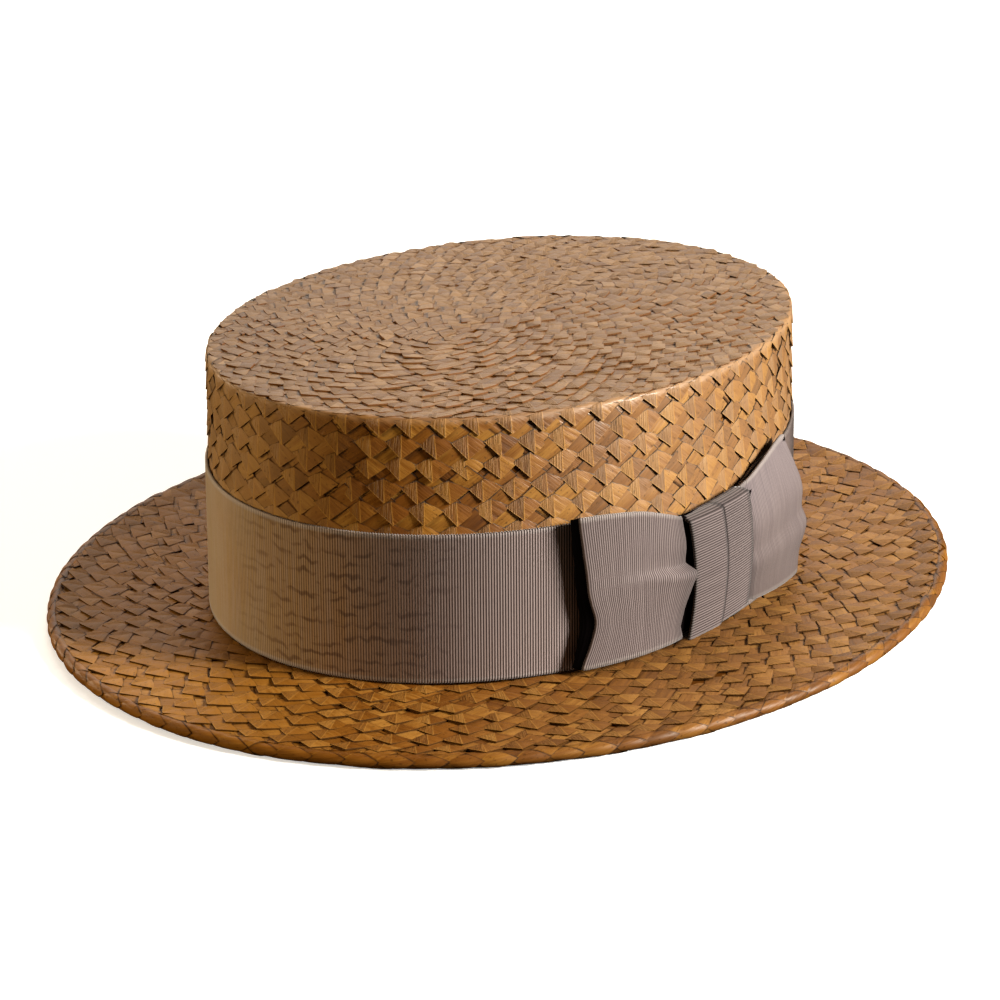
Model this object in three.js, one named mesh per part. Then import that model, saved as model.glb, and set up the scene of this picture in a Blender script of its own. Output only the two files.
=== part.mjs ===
// Straw boater hat: stiff oval crown and flat brim of lapped straw plait, ribbon band and side bow.
// Millimetres, +Z up. The origin is under the middle of the head opening, on the plane the brim rests on.
// The front of the hat faces -Y, its length runs along Y, and the bow is on the +X side.
import * as THREE from 'three';
import { mergeVertices } from 'three/addons/utils/BufferGeometryUtils.js';

// Head and crown
const HALF_LENGTH = 102.9;
const HALF_WIDTH = 81.7;
const CROWN_HEIGHT = 85.1;
const CROWN_TAPER = 1.1;
const STRAW_WALL = 1.6;
const EDGE_RADIUS = 3.6;

// Straw plait: each row laps over the next by its raised edge
const ROW_LAP = 0.8;
const LAP_SLOPE = 0.1;
const SIDE_ROW = 6.1;
const SIDE_ROWS_SHOWN = 5;
const TOP_ROW = 6.2;
const TOP_ROWS = 12;

// Brim and its rolled edge
const BRIM_WIDTH = 50.1;
const BRIM_UNDERSIDE = 1.4;
const BRIM_THICKNESS = 2.2;
const BRIM_ROWS = 7;
const ROLL_WIDTH = 5.2;
const ROLL_HEIGHT = 4.5;

// Ribbon
const RIBBON = 1.0;
const BAND_BOTTOM = 3.9;
const BAND_TOP = 49.1;
const BOW_BACK = 2.4;

// Shared
const GAP = 0.3;
const STEPS = 48;
const STRAW = { color: 0x9a6426, roughness: 0.45, metalness: 0 };
const ROLLED_STRAW = { color: 0x86500f, roughness: 0.4, metalness: 0 };
const CLOTH = { color: 0x8a7466, roughness: 0.85, metalness: 0 };

// The crown's foot oval, moved out along its normal by a positive grow and shrunk evenly by a negative one
function ovalPoint(angle, grow, z) {
  const shrink = Math.min(grow, 0);
  const out = Math.max(grow, 0);
  const x = Math.cos(angle);
  const y = Math.sin(angle);
  const normal = new THREE.Vector2(x / HALF_WIDTH, y / HALF_LENGTH).normalize();
  return new THREE.Vector3(
    (HALF_WIDTH + shrink) * x + out * normal.x,
    (HALF_LENGTH + shrink) * y + out * normal.y,
    z,
  );
}

// How far the crown's side leans in at a height
function taperAt(z) {
  return -CROWN_TAPER * z / CROWN_HEIGHT;
}

// A point off the crown's side: angle in degrees round the oval, distance out and height
function besideCrown(degrees, out, z) {
  return ovalPoint(THREE.MathUtils.degToRad(degrees), out + taperAt(z), z);
}

// One body from a list of triangles given as corner points
function solid(triangles) {
  const geometry = new THREE.BufferGeometry();
  const corners = triangles.flat().flatMap((p) => [p.x, p.y, p.z]);
  geometry.setAttribute('position', new THREE.Float32BufferAttribute(corners, 3));
  const merged = mergeVertices(geometry, 1e-4);
  merged.computeVertexNormals();
  return merged;
}

function quad(a, b, c, d) {
  return [[a, b, c], [a, c, d]];
}

// Rings swept round the oval through a profile of grow and z, outer side first and then back inside
function ovalShell(profile, closed) {
  const rings = profile.map(({ grow, z }) => Array.from({ length: STEPS }, (_, i) => (
    ovalPoint(2 * Math.PI * i / STEPS, grow, z))));
  const triangles = [];
  const spans = closed ? rings.length : rings.length - 1;
  for (let r = 0; r < spans; r += 1) {
    const near = rings[r];
    const far = rings[(r + 1) % rings.length];
    for (let i = 0; i < STEPS; i += 1) {
      const next = (i + 1) % STEPS;
      triangles.push(...quad(near[i], far[i], far[next], near[next]));
    }
  }
  if (!closed) {
    const top = new THREE.Vector3(0, 0, profile[0].z);
    const ceiling = new THREE.Vector3(0, 0, profile[profile.length - 1].z);
    const first = rings[0];
    const last = rings[rings.length - 1];
    for (let i = 0; i < STEPS; i += 1) {
      const next = (i + 1) % STEPS;
      triangles.push([top, first[i], first[next]]);
      triangles.push([ceiling, last[next], last[i]]);
    }
  }
  return solid(triangles);
}

// Flat top rows from the middle out: each rises to its outer edge and steps down to the next
function topRows() {
  const points = [];
  const edge = -EDGE_RADIUS - CROWN_TAPER;
  for (let row = TOP_ROWS - 1; row >= 0; row -= 1) {
    const grow = edge - row * TOP_ROW;
    points.push({ grow: grow - LAP_SLOPE, z: CROWN_HEIGHT });
    points.push({ grow, z: CROWN_HEIGHT - ROW_LAP });
  }
  return points;
}

// First side row folded over the top edge of the crown
function roundedEdge() {
  const rise = EDGE_RADIUS - ROW_LAP;
  return [30, 60, 90].map((degrees) => {
    const turn = THREE.MathUtils.degToRad(degrees);
    return {
      grow: EDGE_RADIUS * (Math.sin(turn) - 1) - CROWN_TAPER,
      z: CROWN_HEIGHT - EDGE_RADIUS + rise * Math.cos(turn),
    };
  });
}

// Side rows above the ribbon: each leans out to its lower edge and steps back in
function sideRows() {
  const points = [];
  for (let row = 1; row <= SIDE_ROWS_SHOWN; row += 1) {
    const z = CROWN_HEIGHT - EDGE_RADIUS - row * SIDE_ROW;
    points.push({ grow: taperAt(z), z });
    points.push({ grow: taperAt(z) - ROW_LAP, z: z - LAP_SLOPE });
  }
  return points;
}

function crown() {
  const wall = STRAW_WALL + ROW_LAP;
  const ceiling = CROWN_HEIGHT - wall;
  const foot = [
    { grow: taperAt(BAND_TOP), z: BAND_TOP - GAP },
    { grow: taperAt(BRIM_UNDERSIDE), z: BRIM_UNDERSIDE },
    { grow: -wall, z: BRIM_UNDERSIDE },
  ];
  const inside = [
    { grow: -wall - CROWN_TAPER, z: ceiling - EDGE_RADIUS / 2 },
    { grow: -wall - CROWN_TAPER - EDGE_RADIUS / 2, z: ceiling },
    { grow: -EDGE_RADIUS - TOP_ROWS * TOP_ROW, z: ceiling },
  ];
  return ovalShell([...topRows(), ...roundedEdge(), ...sideRows(), ...foot, ...inside], false);
}

// Brim rows rise to their outer edge over the next row, with a flat underside
function brim() {
  const inner = GAP;
  const outer = BRIM_WIDTH - ROLL_WIDTH - GAP;
  const pitch = (outer - inner) / BRIM_ROWS;
  const high = BRIM_UNDERSIDE + BRIM_THICKNESS;
  const points = [{ grow: inner, z: BRIM_UNDERSIDE }, { grow: inner, z: high - ROW_LAP }];
  for (let row = 1; row < BRIM_ROWS; row += 1) {
    points.push({ grow: inner + row * pitch, z: high });
    points.push({ grow: inner + row * pitch + LAP_SLOPE, z: high - ROW_LAP });
  }
  points.push({ grow: outer, z: high }, { grow: outer, z: BRIM_UNDERSIDE });
  return ovalShell(points, true);
}

// Last plait row rolled over into a thick rim with a narrow flat foot
function brimEdge() {
  const middle = BRIM_WIDTH - ROLL_WIDTH / 2;
  const half = ROLL_WIDTH / 2;
  const section = [
    { across: -0.35, up: 0 },
    { across: -1, up: 0.28 },
    { across: -1, up: 0.78 },
    { across: -0.5, up: 1 },
    { across: 0.4, up: 0.97 },
    { across: 0.88, up: 0.75 },
    { across: 1, up: 0.45 },
    { across: 0.85, up: 0.15 },
    { across: 0.45, up: 0 },
  ];
  return ovalShell(section.map(({ across, up }) => ({
    grow: middle + across * half,
    z: up * ROLL_HEIGHT,
  })), true);
}

// Ribbon laid flat round the foot of the crown
function hatband() {
  const section = [
    { out: GAP, z: BAND_BOTTOM },
    { out: GAP, z: BAND_TOP },
    { out: GAP + RIBBON, z: BAND_TOP },
    { out: GAP + RIBBON, z: BAND_BOTTOM },
  ];
  return ovalShell(section.map(({ out, z }) => ({ grow: out + taperAt(z), z })), true);
}

// Ribbon of even thickness round a sheet of middle points, sheet[i] running along the ribbon
function ribbonBody(sheet, closed) {
  const count = sheet.length;
  const width = sheet[0].length;
  const at = (i) => sheet[closed ? (i + count) % count : Math.min(Math.max(i, 0), count - 1)];
  const offset = (i, j, side) => {
    const along = at(i + 1)[j].clone().sub(at(i - 1)[j]);
    const across = sheet[i][Math.min(j + 1, width - 1)].clone().sub(sheet[i][Math.max(j - 1, 0)]);
    const normal = along.cross(across).normalize();
    return sheet[i][j].clone().addScaledVector(normal, side * RIBBON / 2);
  };
  const face = (side) => sheet.map((row, i) => row.map((_, j) => offset(i, j, side)));
  const front = face(1);
  const back = face(-1);
  const triangles = [];
  for (let i = 0; i < (closed ? count : count - 1); i += 1) {
    const n = (i + 1) % count;
    for (let j = 0; j < width - 1; j += 1) {
      triangles.push(...quad(front[i][j], front[n][j], front[n][j + 1], front[i][j + 1]));
      triangles.push(...quad(back[i][j], back[i][j + 1], back[n][j + 1], back[n][j]));
    }
    triangles.push(...quad(front[i][0], back[i][0], back[n][0], front[n][0]));
    const w = width - 1;
    triangles.push(...quad(front[i][w], front[n][w], back[n][w], back[i][w]));
  }
  if (!closed) {
    const e = count - 1;
    for (let j = 0; j < width - 1; j += 1) {
      triangles.push(...quad(front[0][j], front[0][j + 1], back[0][j + 1], back[0][j]));
      triangles.push(...quad(front[e][j], back[e][j], back[e][j + 1], front[e][j + 1]));
    }
  }
  return solid(triangles);
}

// A folded loop: each row of the table is one station along the ribbon, from under the knot, along the
// back ply to the fold and back along the front ply. The edge column says how much of the fold's dent
// shape the station follows, and the ridge column how far its pinched crease stands out.
function bowLoop(stations, foldShape) {
  return ribbonBody(stations.map(({ angle, out, bottom, top, edge, ridge }) => (
    foldShape.map(({ up, shift, crease }) => besideCrown(
      angle + edge * shift,
      out + ridge * crease,
      THREE.MathUtils.lerp(bottom, top, up),
    )))), false);
}

// Front loop's fold leans back with a dent, and a crease runs across it from the knot
const FRONT_FOLD = [
  { up: 0, shift: 1.2, crease: 0 },
  { up: 0.15, shift: 2.3, crease: 0.2 },
  { up: 0.31, shift: 3.2, crease: 0.5 },
  { up: 0.46, shift: 2.6, crease: 1 },
  { up: 0.54, shift: 2.2, crease: -0.2 },
  { up: 0.75, shift: 1.1, crease: 0.2 },
  { up: 1, shift: 0, crease: 0 },
];
const FRONT_LOOP = [
  { angle: -0.8, out: 3.85, bottom: 10, top: 45, edge: 0, ridge: 0 },
  { angle: -6, out: 3.85, bottom: 10, top: 45, edge: 0, ridge: 0 },
  { angle: -11, out: 3.85, bottom: 10, top: 45, edge: 0, ridge: 0 },
  { angle: -14.5, out: BOW_BACK, bottom: 8, top: 48, edge: 0, ridge: 0 },
  { angle: -21, out: BOW_BACK, bottom: 7, top: 50.6, edge: 0.5, ridge: 0 },
  { angle: -29, out: BOW_BACK, bottom: 5.8, top: 52, edge: 1, ridge: 0 },
  { angle: -30.2, out: 2.8, bottom: 5.7, top: 52.2, edge: 1, ridge: 0 },
  { angle: -30.7, out: 3.4, bottom: 5.7, top: 52.4, edge: 1, ridge: 0 },
  { angle: -30.2, out: 4.4, bottom: 5.7, top: 52.5, edge: 1, ridge: 0 },
  { angle: -28.6, out: 5, bottom: 5.8, top: 52.6, edge: 1, ridge: 0.1 },
  { angle: -24, out: 5.4, bottom: 6.2, top: 52.4, edge: 0.6, ridge: 0.5 },
  { angle: -18, out: 5.7, bottom: 6.7, top: 50.8, edge: 0.2, ridge: 1 },
  { angle: -13.5, out: 5.9, bottom: 7.6, top: 48, edge: 0, ridge: 1.4 },
  { angle: -11, out: 5.15, bottom: 9.6, top: 45.4, edge: 0, ridge: 0 },
  { angle: -0.8, out: 5.15, bottom: 10, top: 45, edge: 0, ridge: 0 },
];

// Back loop bulges below its middle and is nearly smooth
const BACK_FOLD = [
  { up: 0, shift: -1.5, crease: -0.3 },
  { up: 0.16, shift: -1.3, crease: 0.2 },
  { up: 0.31, shift: 1.4, crease: 1 },
  { up: 0.5, shift: -0.2, crease: 0.9 },
  { up: 0.75, shift: -3.2, crease: 0.3 },
  { up: 1, shift: -6.5, crease: -0.4 },
];
const BACK_LOOP = [
  { angle: 0.2, out: 5.15, bottom: 10, top: 45, edge: 0, ridge: 0 },
  { angle: 8.6, out: 5.15, bottom: 9.6, top: 45.4, edge: 0, ridge: 0 },
  { angle: 11, out: 5.5, bottom: 9, top: 48.5, edge: 0, ridge: 0.4 },
  { angle: 18, out: 5.6, bottom: 7.6, top: 51.5, edge: 0.2, ridge: 0.8 },
  { angle: 26.5, out: 5.3, bottom: 6.3, top: 53.2, edge: 0.9, ridge: 1 },
  { angle: 29, out: 4.8, bottom: 5.9, top: 53.4, edge: 1, ridge: 0.8 },
  { angle: 29.8, out: 3.6, bottom: 5.7, top: 53.2, edge: 1, ridge: 0.4 },
  { angle: 29, out: 2.8, bottom: 5.7, top: 52.8, edge: 1, ridge: 0 },
  { angle: 26.5, out: BOW_BACK, bottom: 6.3, top: 52, edge: 0.9, ridge: 0 },
  { angle: 18, out: BOW_BACK, bottom: 7.6, top: 50, edge: 0.2, ridge: 0 },
  { angle: 11, out: BOW_BACK + 0.3, bottom: 9, top: 47, edge: 0, ridge: 0 },
  { angle: 7.4, out: 3.85, bottom: 10, top: 45, edge: 0, ridge: 0 },
  { angle: 3.4, out: 3.85, bottom: 10, top: 45, edge: 0, ridge: 0 },
  { angle: 0.2, out: 3.85, bottom: 10, top: 45, edge: 0, ridge: 0 },
];

// Knot: a ribbon wrapped once round both loops, with one upright pleat. Its waist leans back at mid height.
const KNOT_WAIST = 2.6;
const KNOT_LOW = 8.3;
const KNOT_HIGH = 46.9;
const KNOT_ACROSS = [
  { angle: -10, front: 6.5 },
  { angle: -6, front: 6.8 },
  { angle: -2.4, front: 7.2 },
  { angle: -1.7, front: 6.5 },
  { angle: 2, front: 6.6 },
  { angle: 5.2, front: 6.5 },
];
const KNOT_WRAP = [
  { z: 8.6, depth: 0.8 },
  { z: 10, depth: 1 },
  { z: 19, depth: 1 },
  { z: 28, depth: 1 },
  { z: 37, depth: 1 },
  { z: 45.2, depth: 1 },
  { z: 46.6, depth: 0.8 },
  { z: KNOT_HIGH, depth: 0.45 },
  { z: 46.4, depth: 0.08 },
  { z: 44.8, depth: 0 },
  { z: 28, depth: 0 },
  { z: 10.4, depth: 0 },
  { z: 8.8, depth: 0.08 },
  { z: KNOT_LOW, depth: 0.45 },
];

function bowKnot() {
  return ribbonBody(KNOT_WRAP.map(({ z, depth }) => {
    const up = (z - KNOT_LOW) / (KNOT_HIGH - KNOT_LOW);
    const waist = KNOT_WAIST * depth * Math.sin(Math.PI * up);
    return KNOT_ACROSS.map(({ angle, front }) => besideCrown(
      angle + waist,
      THREE.MathUtils.lerp(BOW_BACK, front, depth),
      z,
    ));
  }), true);
}

function piece(name, geometry, look) {
  const mesh = new THREE.Mesh(geometry, new THREE.MeshStandardMaterial(look));
  mesh.name = name;
  return mesh;
}

const boater = new THREE.Group();
boater.add(piece('crown', crown(), STRAW));
boater.add(piece('brim', brim(), STRAW));
boater.add(piece('brim_edge', brimEdge(), ROLLED_STRAW));
boater.add(piece('hatband', hatband(), CLOTH));
boater.add(piece('bow_loop_front', bowLoop(FRONT_LOOP, FRONT_FOLD), CLOTH));
boater.add(piece('bow_loop_back', bowLoop(BACK_LOOP, BACK_FOLD), CLOTH));
boater.add(piece('bow_knot', bowKnot(), CLOTH));

export default boater;
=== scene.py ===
import math
import random

import bmesh
import bpy
import numpy as np
from mathutils import Matrix, Vector


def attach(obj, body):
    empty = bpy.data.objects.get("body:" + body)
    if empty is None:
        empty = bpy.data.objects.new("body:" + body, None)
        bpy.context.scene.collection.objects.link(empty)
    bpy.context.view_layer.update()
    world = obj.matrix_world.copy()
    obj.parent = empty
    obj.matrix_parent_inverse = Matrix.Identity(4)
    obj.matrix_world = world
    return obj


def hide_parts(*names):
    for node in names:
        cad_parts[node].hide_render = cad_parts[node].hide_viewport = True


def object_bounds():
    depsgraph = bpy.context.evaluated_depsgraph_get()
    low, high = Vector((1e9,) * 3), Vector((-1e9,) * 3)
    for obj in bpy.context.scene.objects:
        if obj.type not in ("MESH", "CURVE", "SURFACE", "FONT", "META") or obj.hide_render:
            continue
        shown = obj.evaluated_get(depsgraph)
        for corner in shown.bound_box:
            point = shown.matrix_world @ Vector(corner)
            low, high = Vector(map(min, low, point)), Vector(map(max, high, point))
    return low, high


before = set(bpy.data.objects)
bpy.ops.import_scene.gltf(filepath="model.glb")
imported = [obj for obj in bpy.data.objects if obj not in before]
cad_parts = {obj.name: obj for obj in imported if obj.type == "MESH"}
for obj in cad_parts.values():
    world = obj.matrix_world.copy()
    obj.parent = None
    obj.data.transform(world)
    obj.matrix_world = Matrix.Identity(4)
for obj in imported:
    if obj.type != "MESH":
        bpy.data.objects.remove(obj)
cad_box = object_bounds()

# Sizes of the hat, in millimetres. The crown's oval and height come from the bounds of model.glb, and the
# rest from the photograph's outline, which makes the brim a little narrower than the CAD model's
MM = 0.001
CAD_BRIM_WIDTH = 50.1
HALF_LENGTH = round(cad_box[1][1] / MM - CAD_BRIM_WIDTH, 1)
HALF_WIDTH = round(cad_box[1][0] / MM - CAD_BRIM_WIDTH, 1)
CROWN_HEIGHT = round(cad_box[1][2] / MM, 1)
CROWN_TAPER = 1.1
CROWN_WALL = 2.7
EDGE_RADIUS = 2.6
BRIM_WIDTH = 48.9
BRIM_UNDERSIDE = 1.4
BRIM_TOP = 3.6
ROLL_WIDTH = 4.4
ROLL_HEIGHT = 4.2
BAND_BOTTOM = 3.9
BAND_TOP = 49.1
BAND_GAP = -1.3
CLOTH = 0.8
MIDDLE_HOLE = 0.4

# Straw plait: one unit along a row, the rows' spacing and how far a row stands out
UNIT = 9.5
SIDE_PITCH = 6.6
TOP_PITCH = 4.75
TOP_SCALE = 0.72
BRIM_PITCH = 6.75
SIDE_ROWS = 7
TOP_ROWS = 16
BRIM_ROWS = 8
INSIDE_ROWS = 12
FIRST_SIDE_ROW = 2.6
SIDE_END = 45.9
FIRST_TOP_ROW = -3.4
PLAIT_DEPTH = 2.65
PLAIT_SUNK = PLAIT_DEPTH * 0.8
UNIT_VARIANTS = 8
NO_LIMIT = 1e3
# A unit's strands: the lozenge's dull back and its folded face, and the two strands that it lies under
BACK, FACE, RISING, FALLING = range(4)

# Ribbed ribbon: the spacing of its ribs, their depth and the columns of the mesh to one rib
RIB = 0.8
LOOP_RIB = 0.73
KNOT_RIB = 0.84
RIB_DEPTH = 0.16
LOOP_RIB_DEPTH = 0.1
KNOT_RIB_DEPTH = 0.14
RIB_COLUMNS = 4

# Camera, from the photograph's perspective, and the point it looks at
CAMERA_AZIMUTH = 42.17
CAMERA_ELEVATION = 21.14
CAMERA_ROLL = -0.29
CAMERA_DISTANCE = 937.7
CAMERA_TARGET_HEIGHT = 23.9
CAMERA_LENS = 107.9
CAMERA_SENSOR = 36
CAMERA_SHIFT = -0.00625


# Node trees

class Value:
    """A number socket that grows Math nodes when it is used in an expression."""

    def __init__(self, graph, socket):
        self.graph = graph
        self.socket = socket

    def _with(self, operation, *others):
        inputs = dict(enumerate((self, *others)))
        return self.graph.node("ShaderNodeMath", {"operation": operation}, inputs)["Value"]

    def __add__(self, other):
        return self._with("ADD", other)

    __radd__ = __add__

    def __mul__(self, other):
        return self._with("MULTIPLY", other)

    __rmul__ = __mul__

    def __sub__(self, other):
        return self._with("SUBTRACT", other)

    def __rsub__(self, other):
        return self * -1 + other

    def root(self):
        return self._with("SQRT")

    def wave(self):
        return self._with("SINE")

    def below(self, other):
        return self._with("LESS_THAN", other)

    def fraction(self):
        return self._with("FRACT")

    def size(self):
        return self._with("ABSOLUTE")

    def step(self, low, high):
        """0 below low, 1 above high and smooth between."""
        inputs = {"Value": self, "From Min": low, "From Max": high}
        settings = {"interpolation_type": "SMOOTHSTEP"}
        return self.graph.node("ShaderNodeMapRange", settings, inputs)["Result"]


class Node:
    """A node whose outputs are read by name."""

    def __init__(self, graph, node):
        self.graph = graph
        self.node = node

    def __getitem__(self, name):
        return Value(self.graph, self.node.outputs[name])


class Graph:
    """Adds nodes to a tree from their type, settings and inputs."""

    def __init__(self, tree):
        self.tree = tree
        tree.nodes.clear()

    def node(self, kind, settings=None, inputs=None):
        node = self.tree.nodes.new(kind)
        for name, value in (settings or {}).items():
            if name == "stops":
                self._ramp(node.color_ramp, value)
            else:
                setattr(node, name, value)
        for name, value in (inputs or {}).items():
            socket = node.inputs[name]
            if isinstance(value, Value):
                self.tree.links.new(value.socket, socket)
            else:
                socket.default_value = value
        return Node(self, node)

    @staticmethod
    def _ramp(ramp, stops):
        while len(ramp.elements) < len(stops):
            ramp.elements.new(0.5)
        for element, (place, colour) in zip(ramp.elements, stops):
            element.position = place
            element.color = (*colour, 1)

    def mix(self, factor, first, second):
        """Blends two colours, by socket numbers, as the node gives each kind of data the same names."""
        node = self.node("ShaderNodeMix", {"data_type": "RGBA"}, {0: factor, 6: first, 7: second})
        return Value(self, node.node.outputs[2])

    def vector(self, x, y, z=0.0):
        return self.node("ShaderNodeCombineXYZ", None, {"X": x, "Y": y, "Z": z})["Vector"]

    def attribute(self, name):
        return self.node("ShaderNodeAttribute", {"attribute_name": name})["Fac"]

    def noise(self, vector, scale, detail):
        inputs = {"Vector": vector, "Scale": scale, "Detail": detail}
        return self.node("ShaderNodeTexNoise", None, inputs)["Fac"]

    def parts(self, vector):
        split = self.node("ShaderNodeSeparateXYZ", None, {"Vector": vector})
        return split["X"], split["Y"], split["Z"]


def rgb(red, green, blue):
    return (red, green, blue, 1.0)


# Materials

RUBBED_STRAW = rgb(0.17, 0.07, 0.008)
# Pale, greyer straw colour: painted sheen of the key light on the side that faces it
PAINTED_SHEEN = rgb(0.27, 0.168, 0.085)
STRAW_GLINT = rgb(1.0, 0.93, 0.82)
FADED_YARN = rgb(0.32, 0.26, 0.24)
WATER_MARK = rgb(0.05, 0.02, 0.006)
WORN_EDGE = rgb(0.34, 0.3, 0.27)
# Pale grey painted sheen on the ribbon's rib backs
PAINTED_RIB_SHEEN = rgb(0.38, 0.34, 0.35)
# Near-black painted shade in the grooves between ribs
PAINTED_GROOVE_SHADE = rgb(0.014, 0.008, 0.007)
FOLD_SHADE = rgb(0.008, 0.006, 0.007)
MOTTLE = rgb(0.006, 0.004, 0.003)
# Direction of the side that faces the key light, which gets the painted sheen
SHEEN_SIDE = (0.94, 0.34)
# Side away from the key light: painted haze of reflected light, and painted shade on the crown's top
FAR_LIGHT_SIDE = (-0.743, -0.669)


def new_material(name):
    material = bpy.data.materials.new(name)
    material.use_nodes = True
    return material, Graph(material.node_tree)


def finish_material(g, colour, roughness, normal, fixed):
    inputs = {"Base Color": colour, "Roughness": roughness, "Normal": normal, **fixed}
    shader = g.node("ShaderNodeBsdfPrincipled", None, inputs)
    g.node("ShaderNodeOutputMaterial", None, {"Surface": shader["BSDF"]})


def rubbed_and_painted_light(g, body, far_light_colour, sheen_amount, far_light_amount, rubbing):
    """Straw rubbed along the crown's top edge, with painted sheen on the bow's side, which faces the key
    light,
    and painted light on the other side: a haze where its colour is paler and shade where it is darker.
    """
    x, y, z = g.parts(g.node("ShaderNodeTexCoord")["Object"])
    rubbed = z.step((CROWN_HEIGHT - 4.2) * MM, (CROWN_HEIGHT - 2.2) * MM) * rubbing
    body = g.mix(rubbed, body, RUBBED_STRAW)
    # Painted sheen on the side that faces the key light
    sheen_mask = (x * SHEEN_SIDE[0] + y * SHEEN_SIDE[1]).step(0.01, 0.1)
    body = g.mix(sheen_mask * sheen_amount, body, PAINTED_SHEEN)
    # Painted light on the side away from the key light: a haze where its colour is paler, shade where darker
    far_light_mask = (x * FAR_LIGHT_SIDE[0] + y * FAR_LIGHT_SIDE[1]).step(0.03, 0.09)
    return g.mix(far_light_mask * far_light_amount, body, far_light_colour), rubbed


def straw_material(name, dark, middle, light, dull, slit_shade, far_light_colour, smoothest, shine, sheen_amount, far_light_amount,
                   rubbing=0.0):
    """Split straw: fibres along each strand, dull backs, painted highlights on the folds and painted shade
    in the slits between strands and on their turned-down skirts.

    smoothest is the lowest roughness and shine how much the straw reflects. The next number is how strong
    the painted sheen is on the bow's side, which faces the key light, and the one after it how strong the
    painted light is on the other side. rubbing is how far the crown's top edge is rubbed to a duller gold.
    """
    material, g = new_material(name)
    across, along, _ = g.parts(g.node("ShaderNodeUVMap", {"uv_map": "fibre"})["UV"])
    s, t, _ = g.parts(g.node("ShaderNodeUVMap", {"uv_map": "strand"})["UV"])
    kind = g.attribute("kind")
    tone = g.attribute("tone")
    chance = g.node("ShaderNodeTexWhiteNoise", {"noise_dimensions": "2D"}, {
        "Vector": g.vector(tone * 91.7, kind * 3.1)})["Value"]
    fine = g.noise(g.vector(across * 2.6, along * 0.16, tone * 60), 1.0, 3.0)
    broad = g.noise(g.vector(across * 0.7, along * 0.1, tone * 40), 1.0, 1.0)
    wear_and_highlight = g.noise(g.vector(across * 1.2, along * 0.8, tone * 77), 1.0, 2.0)
    facet = kind.below(FACE + 0.5)
    back = kind.below(BACK + 0.5)
    shade = chance * 0.52 + fine * 0.4 + broad * 0.43 - 0.17
    body = g.mix(shade.step(0.05, 0.55), dark, middle)
    body = g.mix(shade.step(0.45, 1.0), body, light)
    streak = fine.step(0.42, 0.62)
    body = g.mix(back * (0.15 + streak * 0.4), body, dull)
    body, rubbed = rubbed_and_painted_light(g, body, far_light_colour, sheen_amount, far_light_amount, rubbing)
    # Painted highlight along the lozenges' folded edges, patchy by the noise that also places the cracks
    fold = facet * (1 - s.step(0.015, 0.06) * (0.5 + t.step(0.01, 0.04) * 0.5))
    body = g.mix(fold * (0.3 + wear_and_highlight * 0.7), body, light)
    broken = g.noise(g.vector(along * 0.35, across * 0.35, tone * 23), 1.0, 1.0).step(0.3, 0.6)
    far = (1 - (1 - s).step(0.015, 0.075) * (1 - t).step(0.015, 0.075)) * (0.45 + broken * 0.55)
    near = (1 - facet) * (1 - s.step(0.03, 0.11) * t.step(0.03, 0.11)) * (0.55 + broken * 0.45)
    crack = wear_and_highlight.step(0.63, 0.7) * (1 - fold)
    # Painted shade in the slits between strands and under their edges; the cracks are the straw's own
    body = g.mix(far * 0.95 + near * 0.9 + crack * 0.5, body, slit_shade)
    # The turned-down skirts get the same painted shade
    skirt = s.below(-0.5)
    body = g.mix(skirt * 0.9, body, slit_shade)
    roughness = smoothest + fine * 0.25 + back * 0.12 + far * 0.2 + rubbed * 0.45
    height = fine * 0.5 + broad * 0.6 + back * streak * 0.5 - near * 0.6 + fold * 0.12
    bump = g.node("ShaderNodeBump", None, {"Strength": 0.6, "Distance": 0.3 * MM, "Height": height})
    finish_material(g, body, roughness, bump["Normal"], {
        "Specular IOR Level": shine * 0.9, "Specular Tint": STRAW_GLINT,
        "Coat Weight": shine * shine * 0.12, "Coat Roughness": 0.2})
    return material


def tide_lines(g, where, rib, z):
    """Wavy lines left by water, one above the other."""
    wander = g.noise(where, 26.0, 2.0)
    ripple = g.noise(where, 110.0, 2.0)
    jagged = g.noise(g.vector(rib * 0.19, z * 90), 1.0, 1.0)
    patchy = g.noise(g.vector(rib * 0.11, z * 330, 5.0), 1.0, 1.0).step(0.4, 0.62)
    return (z * 1700 + wander * 16 + jagged * 10 + ripple * 4).wave().step(-0.1, 1.0) * patchy


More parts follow.
